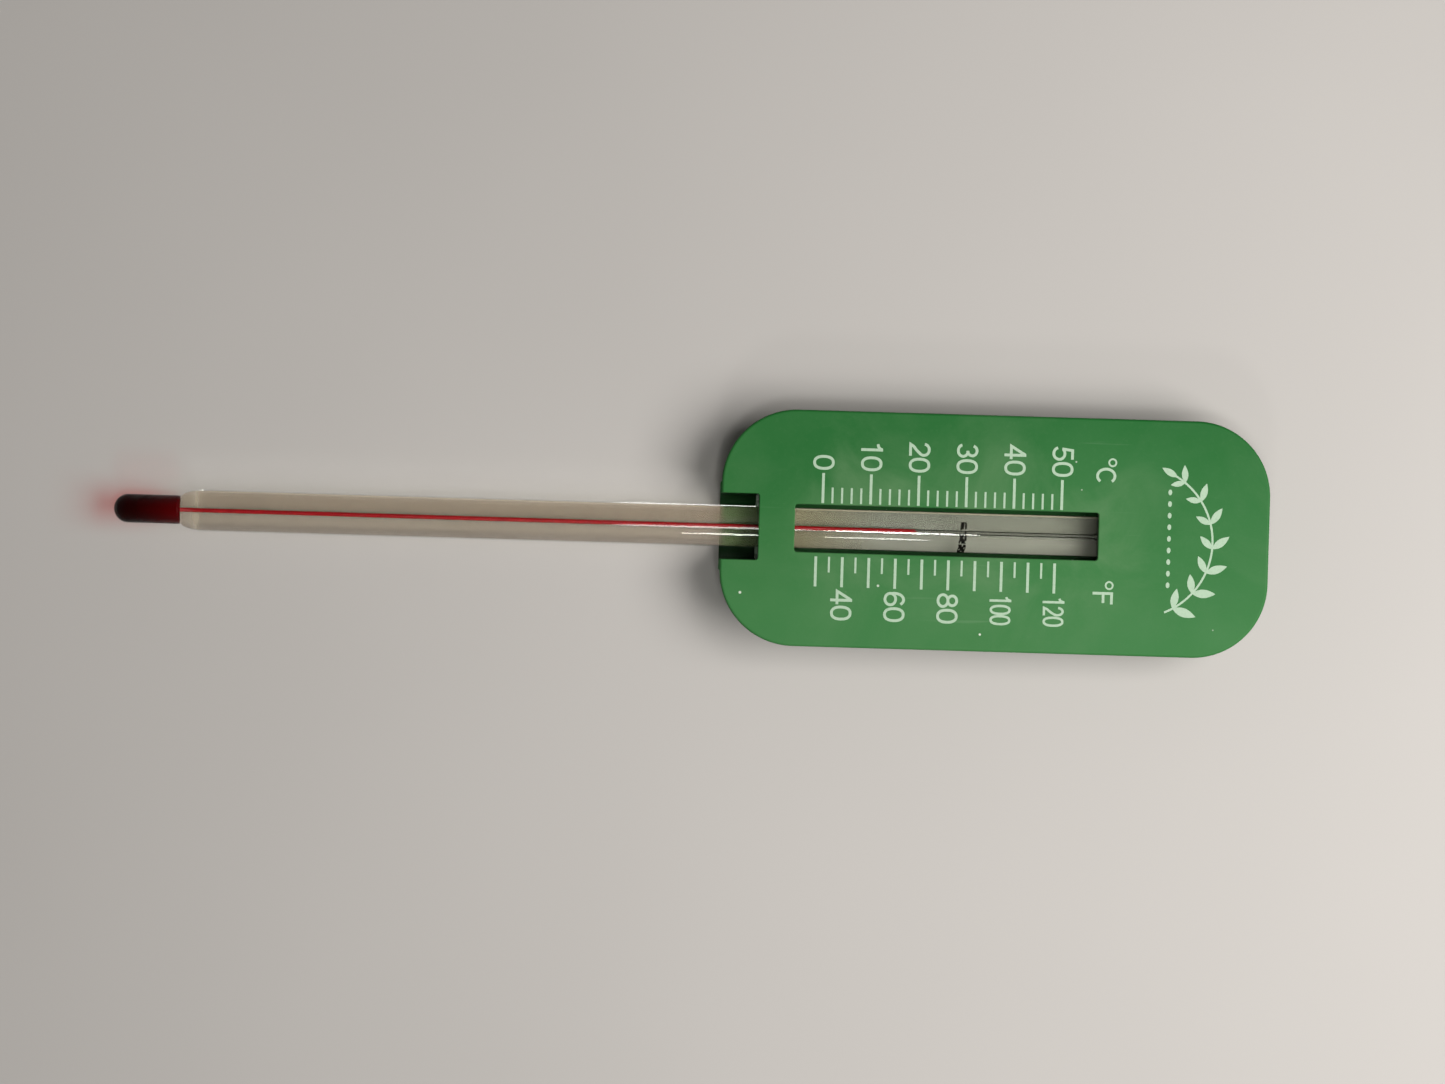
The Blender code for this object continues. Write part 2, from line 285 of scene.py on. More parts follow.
def combine(target, operation, tool, within_itself=False):
    """Joins or cuts the target with a tool, which is used up."""
    modifier = target.modifiers.new("combine", "BOOLEAN")
    modifier.operation = operation
    modifier.solver = "EXACT"
    modifier.use_self = within_itself
    modifier.object = tool
    bake_modifiers(target)
    bpy.data.objects.remove(tool)


def smooth(obj, below):
    """Smooth shading across edges that turn by less than an angle in degrees."""
    obj.data.shade_smooth()
    obj.data.set_sharp_from_angle(angle=math.radians(below))


def flatten_shading(obj):
    """Keeps large flat faces evenly shaded beside small rounded ones."""
    normals = obj.modifiers.new("flatten_shading", "WEIGHTED_NORMAL")
    normals.weight = 100
    normals.keep_sharp = True
    bake_modifiers(obj)


# ---------------------------------------------------------------- materials


class Nodes:
    """A small helper that adds and joins the shader nodes of one new material."""

    def __init__(self, name):
        self.material = bpy.data.materials.new(name)
        self.material.use_nodes = True
        self.tree = self.material.node_tree
        self.shader = self.tree.nodes["Principled BSDF"]
        self.output = self.tree.nodes["Material Output"]
        coordinates = self.tree.nodes.new("ShaderNodeTexCoord")
        self.place = coordinates.outputs["Object"]

    def set(self, **values):
        """Constant values on the shader's own sockets."""
        for name, value in values.items():
            socket = self.shader.inputs[name.replace("_", " ")]
            socket.default_value = (*value, 1.0) if isinstance(value, tuple) else value

    def join(self, source, target):
        self.tree.links.new(source, target)

    def drive(self, name, source):
        """A varying value on one of the shader's sockets."""
        self.join(source, self.shader.inputs[name])

    def stretched(self, scale):
        mapping = self.tree.nodes.new("ShaderNodeMapping")
        mapping.inputs["Scale"].default_value = scale
        self.join(self.place, mapping.inputs["Vector"])
        return mapping.outputs["Vector"]

    def along(self, axis):
        """The coordinate along an axis of the frame, in metres."""
        split = self.tree.nodes.new("ShaderNodeSeparateXYZ")
        self.join(self.place, split.inputs["Vector"])
        return split.outputs[axis]

    def noise(self, scale, detail=4.0, roughness=0.55, place=None, distortion=0.0):
        node = self.tree.nodes.new("ShaderNodeTexNoise")
        node.inputs["Scale"].default_value = scale
        node.inputs["Detail"].default_value = detail
        node.inputs["Roughness"].default_value = roughness
        node.inputs["Distortion"].default_value = distortion
        self.join(place or self.place, node.inputs["Vector"])
        return node.outputs["Fac"]

    def cells(self, scale):
        node = self.tree.nodes.new("ShaderNodeTexVoronoi")
        node.inputs["Scale"].default_value = scale
        self.join(self.place, node.inputs["Vector"])
        return node.outputs["Distance"]

    def ramp(self, value, low, high, from_value=0.0, to_value=1.0):
        node = self.tree.nodes.new("ShaderNodeMapRange")
        node.clamp = True
        node.inputs["From Min"].default_value = low
        node.inputs["From Max"].default_value = high
        node.inputs["To Min"].default_value = from_value
        node.inputs["To Max"].default_value = to_value
        self.join(value, node.inputs["Value"])
        return node.outputs["Result"]

    def fade(self, axis, low, high, from_value=0.0, to_value=1.0):
        """A value that changes between two places along an axis of the frame."""
        return self.ramp(self.along(axis), low, high, from_value, to_value)

    def maths(self, operation, first, second=0.0):
        node = self.tree.nodes.new("ShaderNodeMath")
        node.operation = operation
        for socket, value in zip(node.inputs, (first, second)):
            if isinstance(value, (int, float)):
                socket.default_value = value
            else:
                self.join(value, socket)
        return node.outputs["Value"]

    def blend(self, share, first, second):
        node = self.tree.nodes.new("ShaderNodeMix")
        node.data_type = "RGBA"
        self.join(share, node.inputs["Factor"])
        for name, value in (("A", first), ("B", second)):
            socket = [s for s in node.inputs if s.name == name and s.type == "RGBA"][0]
            if isinstance(value, tuple):
                socket.default_value = (*value, 1.0)
            else:
                self.join(value, socket)
        return [s for s in node.outputs if s.type == "RGBA"][0]

    def bump(self, height, distance, strength):
        node = self.tree.nodes.new("ShaderNodeBump")
        node.inputs["Distance"].default_value = distance
        node.inputs["Strength"].default_value = strength
        self.join(height, node.inputs["Height"])
        self.drive("Normal", node.outputs["Normal"])

    def lamps_pass(self, tint):
        """Lets lamps reach what is behind a clear surface, tinted."""
        path = self.tree.nodes.new("ShaderNodeLightPath")
        clear = self.tree.nodes.new("ShaderNodeBsdfTransparent")
        clear.inputs["Color"].default_value = (*tint, 1.0)
        mix = self.tree.nodes.new("ShaderNodeMixShader")
        self.join(path.outputs["Is Shadow Ray"], mix.inputs["Fac"])
        self.join(self.shader.outputs["BSDF"], mix.inputs[1])
        self.join(clear.outputs["BSDF"], mix.inputs[2])
        self.join(mix.outputs["Shader"], self.output.inputs["Surface"])


def dust_share(n):
    """Pale patches of dust with a painted sheen: they are thickest round the window and the scale, which
    paints the face lighter there.
    """
    # painted sheen: the patches are weighted to the middle of the face, and thin out towards both ends
    beside = n.ramp(n.maths("ABSOLUTE", n.along("Y")), 0.0035, 0.0150, 1.0, 0.35)
    past_scale = n.fade("X", WINDOW_RIGHT, WINDOW_RIGHT + 0.012, 1.0, 0.35)
    before_scale = n.fade("X", WINDOW_LEFT - 0.002, WINDOW_LEFT + 0.006, 0.3, 1.0)
    sheen_round_scale = n.maths("MULTIPLY", beside, n.maths("MULTIPLY", past_scale, before_scale))
    patches = n.ramp(n.noise(75, detail=6.0, roughness=0.62, distortion=0.6), 0.40, 0.74, 0.02, 0.70)
    return n.maths("MULTIPLY", patches, sheen_round_scale)


def speck_share(n):
    """A few pale specks: the middles of cells, where a broad noise lets them be."""
    speck = n.ramp(n.cells(230), 0.035, 0.055, 1.0, 0.0)
    rare = n.ramp(n.noise(60, detail=1.0), 0.51, 0.56)
    return n.maths("MULTIPLY", speck, rare)


def trough_share(n):
    """Where shade is painted on the trough's inside, by distance from its centre line. It fades out in the
    walls and at the face.
    """
    fade_start = 0.0001
    fade_end = 0.0004
    drop = n.maths("MINIMUM", n.maths("SUBTRACT", n.along("Z"), TROUGH_CENTRE), 0.0)
    squares = n.maths("ADD", n.maths("POWER", n.along("Y"), 2.0), n.maths("POWER", drop, 2.0))
    offset = n.maths("SQRT", squares)
    inside = n.ramp(offset, TROUGH_INNER + fade_start, TROUGH_INNER + fade_end, 1.0, 0.0)
    end = TROUGH_RIGHT - TROUGH_END_WALL
    before_end = n.fade("X", end + fade_start, end + fade_end, 1.0, 0.0)
    below_face = n.fade("Z", PLATE_BACK, FACE - 0.0001, 0.93, 0.0)
    return n.maths("MULTIPLY", inside, n.maths("MULTIPLY", before_end, below_face))


def green_plastic():
    """Satin moulded plastic with dust and a painted sheen round the window, painted light on its low side,
    fine scuffs, specks, and painted shade in the trough.
    """
    clean = (0.007, 0.110, 0.018)
    paler_green = (0.034, 0.162, 0.043)
    # pale dusty green, used for dust and for a painted sheen
    dust = (0.11, 0.225, 0.10)
    scuff = (0.15, 0.28, 0.15)
    pale_speck = (0.62, 0.68, 0.58)
    # painted shade colours for the trough's inside, near black in the notch and dark green under the window
    notch_trough_shade = (0.0008, 0.0095, 0.0012)
    window_trough_shade = (0.006, 0.040, 0.009)
    n = Nodes("green_plastic")
    broad = n.ramp(n.noise(28, detail=3.0), 0.35, 0.68, 0.0, 0.35)
    # painted light: the green is paler towards the low side, as if lit more there
    painted_light_low_side = n.fade("Y", 0.016, -0.015, 0.0, 0.85)
    colour = n.blend(n.maths("ADD", broad, painted_light_low_side), clean, paler_green)
    # dust with a painted sheen, thickest round the window
    colour = n.blend(dust_share(n), colour, dust)
    grain = n.ramp(n.noise(1500, detail=3.0, roughness=0.7), 0.55, 0.82, 0.0, 0.10)
    colour = n.blend(grain, colour, dust)
    long_way = n.stretched((40.0, 900.0, 900.0))
    scratches = n.ramp(n.noise(1.0, detail=2.0, roughness=0.5, place=long_way), 0.70, 0.76, 0.0, 0.22)
    colour = n.blend(scratches, colour, scuff)
    colour = n.blend(speck_share(n), colour, pale_speck)
    # painted shade: the trough's inside is painted dark, where little light gets in
    painted_trough_shade = n.blend(n.fade("X", NOTCH_END, WINDOW_LEFT), notch_trough_shade, window_trough_shade)
    n.drive("Base Color", n.blend(trough_share(n), colour, painted_trough_shade))
    n.drive("Roughness", n.ramp(n.noise(160, detail=5.0), 0.3, 0.75, 0.44, 0.60))
    n.set(Specular_IOR_Level=0.14)
    fine = n.noise(2600, detail=3.0, roughness=0.6)
    n.bump(n.maths("ADD", fine, n.maths("MULTIPLY", scratches, -0.8)), 0.000012, 0.5)
    return n.material


GLASS_TINT = (0.93, 0.93, 0.90)
GLASS_INDEX = 1.47
BULB_GLASS_INDEX = 1.24
SPIRIT_INDEX = 1.36


def clear_nodes(name, ior):
    """Clear glass with a trace of dust."""
    n = Nodes(name)
    n.set(Base_Color=(0.96, 0.965, 0.94), IOR=ior, Transmission_Weight=1.0)
    n.drive("Roughness", n.ramp(n.noise(300, detail=5.0, roughness=0.7), 0.50, 0.85, 0.008, 0.05))
    n.lamps_pass(GLASS_TINT)
    return n


def clear_glass():
    """The drawn tube's glass, with long shallow waves."""
    n = clear_nodes("drawn_glass", GLASS_INDEX)
    waves = n.noise(1.0, detail=2.0, roughness=0.5, place=n.stretched((25.0, 500.0, 500.0)))
    n.bump(waves, 0.00001, 0.045)
    return n.material


def bulb_glass():
    """The bulb's thin wall. Its lower index keeps a pale rim off the dark spirit."""
    n = clear_nodes("bulb_glass", BULB_GLASS_INDEX)
    n.set(Specular_IOR_Level=0.02)
    return n.material


def bore_wall():
    """The glass at the bore, painted dark where it is seen edge on: a painted shade that stands in for the
    dark lines of the bore's sides.
    """
    n = Nodes("bore_wall")
    weight = n.tree.nodes.new("ShaderNodeLayerWeight")
    facing = weight.outputs["Facing"]
    n.drive("Base Color", n.blend(n.ramp(facing, 0.05, 0.17), (0.92, 0.93, 0.90), (0.012, 0.014, 0.010)))
    n.drive("Transmission Weight", n.ramp(facing, 0.08, 0.20, 1.0, 0.0))
    n.set(IOR=GLASS_INDEX, Roughness=0.05, Specular_IOR_Level=0.2)
    n.lamps_pass(GLASS_TINT)
    return n.material


def stem_enamel(n, streaky):
    """Painted light and shade: warm and shaded above the thread, lit lighter below it, painted shade by the
    low edge, and pale in a ring at the shoulder.
    """
    # painted shade: the enamel on the open stem is painted a dark tan, darkest above the thread and by the
    # low edge
    upper = streaky((0.225, 0.178, 0.128), (0.248, 0.198, 0.146))
    shaded_low_band = streaky((0.190, 0.158, 0.128), (0.207, 0.173, 0.142))
    lit_by_thread = streaky((0.262, 0.222, 0.175), (0.285, 0.243, 0.193))
    lower = n.blend(n.fade("Y", -0.75 * ENAMEL_HIGH.y, -0.50 * ENAMEL_HIGH.y), shaded_low_band, lit_by_thread)
    colour = n.blend(n.fade("Y", -0.0004, 0.0004), lower, upper)
    ring_place = STEM_LOW.x + 0.0023
    ring_reach = 0.0009
    from_ring = n.maths("ABSOLUTE", n.maths("SUBTRACT", n.along("X"), ring_place))
    return n.blend(n.ramp(from_ring, 0.0, ring_reach, 0.55, 0.0), colour, (0.44, 0.39, 0.30))


def window_enamel(n, streaky):
    """Painted light and shade: warm and dim beside the bridge, then greyer; shaded above the thread and lit
    below it.
    """
    # painted shade: warmer and dimmer beside the bridge
    warm_shade_by_bridge = streaky((0.225, 0.205, 0.130), (0.245, 0.223, 0.145))
    shaded = streaky((0.210, 0.218, 0.178), (0.226, 0.234, 0.193))
    lit = streaky((0.295, 0.302, 0.255), (0.315, 0.322, 0.275))
    colour = n.blend(n.fade("Y", -0.0008, 0.0008), lit, shaded)
    return n.blend(n.fade("X", WINDOW_LEFT + 0.001, WINDOW_LEFT + 0.013), warm_shade_by_bridge, colour)


def cream_enamel():
    """Thin opal enamel, with a painted reflection along its upper edge and painted shade in the notch. Some
    of what lies behind it shows through.
    """
    n = Nodes("cream_enamel")
    long_way = n.stretched((30.0, 1400.0, 1400.0))
    streaks = n.ramp(n.noise(1.0, detail=3.0, roughness=0.6, place=long_way), 0.3, 0.75)

    def streaky(dull, bright):
        return n.blend(streaks, dull, bright)

    # painted reflection: a light line along the enamel's upper edge stands in for the glass rim's
    # reflection
    edge = n.fade("Y", 0.90 * ENAMEL_HIGH.y, 0.95 * ENAMEL_HIGH.y, 0.0, 0.8)
    on_stem = n.blend(edge, stem_enamel(n, streaky), (0.42, 0.36, 0.27))
    # painted shade: dark olive where the tube lies in the notch
    notch_enamel_shade = streaky((0.110, 0.155, 0.070), (0.130, 0.180, 0.085))
    in_window = n.blend(edge, window_enamel(n, streaky), (0.52, 0.47, 0.36))
    colour = n.blend(n.fade("X", PLATE_LEFT - 0.0003, PLATE_LEFT + 0.0006), on_stem, notch_enamel_shade)
    colour = n.blend(n.fade("X", NOTCH_END + 0.001, WINDOW_LEFT - 0.001), colour, in_window)
    n.drive("Base Color", colour)
    n.drive("Roughness", n.ramp(n.noise(400), 0.3, 0.7, 0.35, 0.5))
    n.set(Alpha=0.55, Specular_IOR_Level=0.0)
    return n.material


def bulb_spirit():
    """Dark red dye with painted light: nearly black by the tip, and painted redder by the tube, where light
    comes in.
    """
    n = Nodes("bulb_spirit")
    painted_light_inward = n.fade("X", BULB_LOW.x + 0.003, BULB_HIGH.x, 0.0, 0.9)
    cloud = n.ramp(n.noise(220, detail=2.0), 0.3, 0.7, 0.0, 0.15)
    share = n.maths("ADD", painted_light_inward, cloud)
    n.drive("Base Color", n.blend(share, (0.005, 0.0001, 0.0001), (0.050, 0.0003, 0.0008)))
    n.set(Roughness=0.12, IOR=SPIRIT_INDEX, Transmission_Weight=0.15, Specular_IOR_Level=0.0)
    n.lamps_pass((0.9, 0.06, 0.07))
    return n.material


def thread_spirit():
    n = Nodes("thread_spirit")
    tone = n.ramp(n.noise(700, detail=2.0), 0.3, 0.7)
    n.drive("Base Color", n.blend(tone, (0.180, 0.0018, 0.0035), (0.225, 0.0026, 0.0050)))
    n.set(Roughness=0.25, IOR=SPIRIT_INDEX)
    return n.material


def printed_ink():
    """Pale mint ink, thin enough in places to let a little green through."""
    n = Nodes("printed_ink")
    worn = n.ramp(n.noise(2400, detail=4.0, roughness=0.7), 0.50, 0.78, 0.0, 0.45)
    n.drive("Base Color", n.blend(worn, (0.35, 0.49, 0.35), (0.15, 0.32, 0.18)))
    n.drive("Roughness", n.ramp(n.noise(900), 0.3, 0.7, 0.45, 0.65))
    n.bump(n.noise(4000, detail=2.0), 0.000006, 0.5)
    return n.material


def mark_paint():
    n = Nodes("mark_paint")
    worn = n.ramp(n.noise(3500, detail=4.0, roughness=0.7), 0.45, 0.75)
    n.drive("Base Color", n.blend(worn, (0.002, 0.002, 0.0015), (0.016, 0.016, 0.012)))
    n.drive("Roughness", n.ramp(n.noise(1500), 0.3, 0.7, 0.4, 0.7))
    n.set(Specular_IOR_Level=0.08)
    return n.material


def cloudy_adhesive():
    n = Nodes("cloudy_adhesive")
    cloud = n.ramp(n.noise(900, detail=4.0), 0.35, 0.7)
    n.drive("Base Color", n.blend(cloud, (0.20, 0.30, 0.20), (0.30, 0.40, 0.29)))
    n.drive("Roughness", n.ramp(n.noise(1200), 0.3, 0.7, 0.2, 0.4))
    n.set(Transmission_Weight=0.3, IOR=1.48)
    n.bump(n.noise(1800, detail=3.0), 0.00003, 0.6)
    return n.material


def pale_floor():
    n = Nodes("pale_floor")
    cloud = n.ramp(n.noise(6, detail=3.0), 0.3, 0.7)
    n.drive("Base Color", n.blend(cloud, (0.44, 0.423, 0.405), (0.47, 0.452, 0.433)))
    n.set(Roughness=0.6)
    return n.material


def dress(obj, *materials):
    """Gives an object these materials and no others."""
    obj.data.materials.clear()
    for material in materials:
        obj.data.materials.append(material)


# ---------------------------------------------------------------- the holder


def trough_outline(radius, floor, top):
    """A half round that is flat below the height floor, with straight sides up to the height top."""
    reach = math.acos(min(1.0, (TROUGH_CENTRE - floor) / radius))
    half = arc((0.0, TROUGH_CENTRE), radius, -math.pi / 2 + reach, 0, 32)
    right_side = half + [(radius, top)]
    left_side = [(-y, z) for y, z in reversed(right_side)]
    has_no_flat = reach < 1e-6
    if has_no_flat:
        left_side.pop()  # both sides end on the same lowest point
    return right_side + left_side


def plate():
    levels = rounded_start(PLATE_BACK, PLATE_BACK_EDGE, 3) + rounded_finish(FACE, PLATE_FRONT_EDGE, 6)
    rings = []
    for inset, z in levels:
        left = PLATE_LEFT + inset
        right = HOLDER_HIGH.x - inset
        outline = rounded_rectangle(left, right, PLATE_WIDTH - 2 * inset, PLATE_CORNER - inset, 36)
        rings.append(flat_ring(outline, z))
    return loft("holder_moulding", rings)


def trough_shell():
    ends = rounded_start(HOLDER_LOW.x, TROUGH_EDGE, 4) + rounded_finish(TROUGH_RIGHT, TROUGH_EDGE, 4)
    inside_plate = FACE - PLATE_THICKNESS / 2
    rings = [cross_ring(trough_outline(TROUGH_OUTER - inset, inset, inside_plate), x) for inset, x in ends]
    return loft("shell", rings)


def opening(left, right, width):
    """A cutter through the plate, whose front edge is rounded over."""
    levels = [(0.0, PLATE_BACK - PAST)]
    levels += rounded_finish(FACE, OPENING_EDGE, 4)
    levels.append((OPENING_EDGE + OPENING_FLARE, FACE + PAST))
    rings = []
    for out, z in levels:
        outline = rounded_rectangle(left - out, right + out, width + 2 * out, OPENING_CORNER + out, 6)
        rings.append(flat_ring(outline, z))
    return loft("opening", rings)


def saddle(left):
    """A rib across the trough, sunk into its walls and floor."""
    outline = trough_outline(TROUGH_INNER + SADDLE_INTO_WALL, TROUGH_FLOOR - SADDLE_INTO_WALL, SADDLE_TOP)
    return loft("saddle", [cross_ring(outline, x) for x in (left, left + SADDLE_LENGTH)])


def ejector_pin(x, y):
    ring = arc((x, y), EJECTOR_RADIUS, 0, 2 * math.pi, 40)[:-1]
    return loft("pin", [flat_ring(ring, z) for z in (PLATE_BACK - PAST, PLATE_BACK + EJECTOR_DEPTH)])


def make_holder():
    holder = plate()
    combine(holder, "UNION", trough_shell())
    channel = trough_outline(TROUGH_INNER, TROUGH_FLOOR, PLATE_BACK)
    ends = (HOLDER_LOW.x - PAST, TROUGH_RIGHT - TROUGH_END_WALL)
    combine(holder, "DIFFERENCE", loft("channel", [cross_ring(channel, x) for x in ends]))
    combine(holder, "DIFFERENCE", opening(HOLDER_LOW.x - PAST, NOTCH_END, NOTCH_WIDTH))
    combine(holder, "DIFFERENCE", opening(WINDOW_LEFT, WINDOW_RIGHT, WINDOW_WIDTH))
    for left in SADDLE_PLACES:
        combine(holder, "UNION", saddle(left))
    seat_ends = (NOTCH_END, STEM_HIGH.x + SEAT_PAST_TUBE)
    seat = [circle_ring(x, STEM_RADIUS + SEAT_GAP, SEAT_SIDES) for x in seat_ends]
    combine(holder, "DIFFERENCE", loft("seat", seat))
    for x, y in EJECTOR_PLACES:
        for side in (-1, 1):
            combine(holder, "DIFFERENCE", ejector_pin(x, side * y))
    smooth(holder, 30)
    flatten_shading(holder)
    dress(holder, green_plastic())
    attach(holder, "thermometer")
    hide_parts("holder")


# ---------------------------------------------------------------- the tube


def tip_profile(radius, left):
    """A round end, from near its tip to where the side becomes straight."""
    steps = 24
    angles = [math.pi / 2 * i / steps for i in range(1, steps + 1)]
    return [(left + radius * (1 - math.cos(a)), radius * math.sin(a)) for a in angles]


def shoulder_swell(share):
    """How much of the shoulder's widening is done at a share of its length."""
    return math.sin(math.pi / 2 * share) ** SHOULDER_FULLNESS


def outer_profile():
    """The glass outside: the bulb, the seam where it was fused on, the shoulder and the straight stem."""
    steps = 24
    profile = tip_profile(BULB_RADIUS, BULB_LOW.x)
    profile.append((BULB_STRAIGHT_END, BULB_RADIUS))
    profile.append((FUSED_SEAM, BULB_RADIUS * FUSED_SEAM_SHRINK))
    for i in range(steps + 1):
        share = i / steps
        swell = (STEM_RADIUS - BULB_RADIUS) * shoulder_swell(share)
        profile.append((STEM_LOW.x + SHOULDER * share, BULB_RADIUS + swell))
    straight = STEM_HIGH.x - STEM_LOW.x - SHOULDER - TUBE_END_ROOM
    for i in range(1, steps):
        profile.append((STEM_LOW.x + SHOULDER + straight * i / steps, STEM_RADIUS))
    for inset, x in rounded_finish(STEM_HIGH.x, TUBE_END_EDGE, 8):
        profile.append((x, STEM_RADIUS - inset))
    return profile


def inner_profile():
    """The hollow: the bulb, the neck, the bore and the chamber at its far end."""
    radius = BULB_RADIUS - BULB_WALL
    profile = tip_profile(radius, BULB_LOW.x + BULB_WALL)
    profile.append((NECK, radius))
    for share in (0.2, 0.4, 0.6, 0.8, 1.0):
        angle = math.pi / 2 * share
        narrowing = BORE_RADIUS + (radius - BORE_RADIUS) * math.cos(angle)
        profile.append((NECK + NECK_LENGTH * math.sin(angle), narrowing))
    taper_start = BORE_RIGHT - CHAMBER_LENGTH - CHAMBER_TAPER
    profile.append((taper_start, BORE_RADIUS))
    for share in (0.25, 0.5, 0.75, 1.0):
        swell = (CHAMBER_RADIUS - BORE_RADIUS) * math.sin(math.pi / 2 * share)
        profile.append((taper_start + CHAMBER_TAPER * share, BORE_RADIUS + swell))
    for inset, reach in reversed(quarter_round(CHAMBER_RADIUS * 0.9, 6)):
        profile.append((BORE_RIGHT - CHAMBER_RADIUS + reach, CHAMBER_RADIUS - inset))
    return profile


def make_glass():
    """The tube and the bulb as one hollow wall, whose inner surface points into the hollow."""
    body = bmesh.new()
    add_loft(body, [circle_ring(x, r, TUBE_SIDES) for x, r in outer_profile()])
    outer_faces = len(body.faces)
    bmesh.ops.recalc_face_normals(body, faces=body.faces)
    add_loft(body, [circle_ring(x, r, TUBE_SIDES) for x, r in inner_profile()])
    body.faces.ensure_lookup_table()
    inner = body.faces[outer_faces:]
    bmesh.ops.recalc_face_normals(body, faces=inner)
    bmesh.ops.reverse_faces(body, faces=inner)
    tube = raw_object("glass_tube", body)
    smooth(tube, 40)
    dress(tube, clear_glass(), bore_wall(), bulb_glass())
    for face in tube.data.polygons:
        offset = Vector((face.center.y, face.center.z - AXIS)).length
        if face.center.x < STEM_LOW.x:
            face.material_index = BULB_SLOT
        elif offset < 2 * BORE_RADIUS and face.center.x < STEM_HIGH.x - PAST:
            face.material_index = BORE_SLOT
    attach(tube, "thermometer")
    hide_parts("glass_stem", "glass_bulb")


def enamel_widths():
    """Places along the ribbon and half its width there. It widens with the glass at the shoulder."""
    full = (ENAMEL_HIGH.y - ENAMEL_LOW.y) / 2
    tip = ENAMEL_TIP_WIDTH / 2
    shoulder_end = STEM_LOW.x + SHOULDER
    shoulder_steps = 8
    straight_steps = 20
    places = []
    for i in range(shoulder_steps + 1):
        share = i / shoulder_steps
        half = tip + (full - tip) * shoulder_swell(share)
        places.append((ENAMEL_LOW.x + (shoulder_end - ENAMEL_LOW.x) * share, half))
    length = ENAMEL_HIGH.x - shoulder_end
    for i in range(1, straight_steps + 1):
        places.append((shoulder_end + length * i / straight_steps, full))
    return places


def enamel_section(half):
    """A thin section that is dished round the bore and thinner towards its edges."""
    steps = 16
    middle = (ENAMEL_HIGH.z + ENAMEL_LOW.z) / 2
    thick = (ENAMEL_HIGH.z - ENAMEL_LOW.z) / 2
    shares = [-1 + 2 * i / steps for i in range(steps + 1)]
    upper = []
    lower = []
    for t in shares:
        dished = middle + ENAMEL_DISH * t**2
        thinned = thick * (1 - ENAMEL_EDGE_THINNING * t**4)
        upper.append((half * t, dished + thinned))
        lower.append((half * t, dished - thinned))
    return upper + lower[::-1]


def make_enamel():
    """The enamel: a thin ribbon behind the bore."""
    strip = loft("enamel_ribbon", [cross_ring(enamel_section(half), x) for x, half in enamel_widths()])
    smooth(strip, 50)
    dress(strip, cream_enamel())
    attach(strip, "thermometer")
    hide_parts("enamel_strip")


def make_bulb_spirit():
    """The spirit in the bulb. It runs a little way into the glass, so that no gap shows."""
    radius = BULB_RADIUS - BULB_WALL + SPIRIT_INTO_GLASS
    profile = tip_profile(radius, BULB_LOW.x + BULB_WALL - SPIRIT_INTO_GLASS)
    profile.append((NECK, radius))
    for share in (0.2, 0.4, 0.6, 0.8, 0.95):
        angle = math.pi / 2 * share
        reach = (NECK_LENGTH + SPIRIT_INTO_GLASS) * math.sin(angle)
        profile.append((NECK + reach, radius * math.cos(angle) + SPIRIT_ROOT))
    spirit = loft("spirit_in_bulb", [circle_ring(x, r, SPIRIT_SIDES) for x, r in profile])
    smooth(spirit, 60)
    dress(spirit, bulb_spirit())
    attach(spirit, "thermometer")
    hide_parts("bulb_spirit")


def make_thread():
    """The thread of spirit, from the bulb to its meniscus. It lengthens as the meniscus moves."""
    radius = BORE_RADIUS + THREAD_INTO_GLASS
    left = STEM_LOW.x - THREAD_INTO_BULB
    right = COLUMN_TOP
    steps = 120
    straight_end = right - MENISCUS_LENGTH
    profile = [(left + (straight_end - left) * i / steps, radius) for i in range(steps + 1)]
    for share in (0.25, 0.5, 0.75, 1.0):
        angle = math.pi / 2 * share
        tapered = radius * max(math.cos(angle), 0.15)
        profile.append((straight_end + MENISCUS_LENGTH * math.sin(angle), tapered))
    thread = loft("spirit_thread", [circle_ring(x, r, THREAD_SIDES) for x, r in profile])
    smooth(thread, 60)
    dress(thread, thread_spirit())
    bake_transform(thread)
    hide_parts("spirit_column_lower", "spirit_column")


def paint_covers(u, v):
    """Whether there is paint at a place on the mark. u runs along the tube and v across it, from 0 to 1."""
    ragged = 0.04 * math.sin(23 * v + 11 * u) + 0.04 * math.sin(61 * v - 17 * u + 1.3)
    broken = math.sin(19 * v + 0.6) <= -0.85
    line = abs(u - 0.88 + 0.06 * v) < 0.10 + 0.6 * ragged and v < 0.60 and not broken
    upper = abs(u - 0.48) < 0.21 + ragged and 0.0 < v + 0.12 * (u - 0.3) < 0.22
    middle = abs(u - 0.48) < 0.30 + 1.5 * ragged and 0.34 < v < 0.60
    lower = abs(u - 0.46 + 0.35 * (v - 0.8)) < 0.40 + ragged and 0.63 < v < 0.985
    hole = math.sin(27 * v + 4 + 3 * u) * math.sin(12 * u + 6 * v + 0.5) > 0.55
    return line or upper or ((middle or lower) and not hole)


def painted_cells():
    """The cells of the mark's sheet that the paint covers, with none that touch only at a corner."""
    cells = {
        (i, j)
        for i in range(MARK_COLUMNS)
        for j in range(MARK_ROWS)
        if paint_covers((i + 0.5) / MARK_COLUMNS, (j + 0.5) / MARK_ROWS)
    }
    for i, j in sorted(cells):
        if (i + 1, j + 1) in cells or (i + 1, j - 1) in cells:
            cells.add((i + 1, j))
    return cells


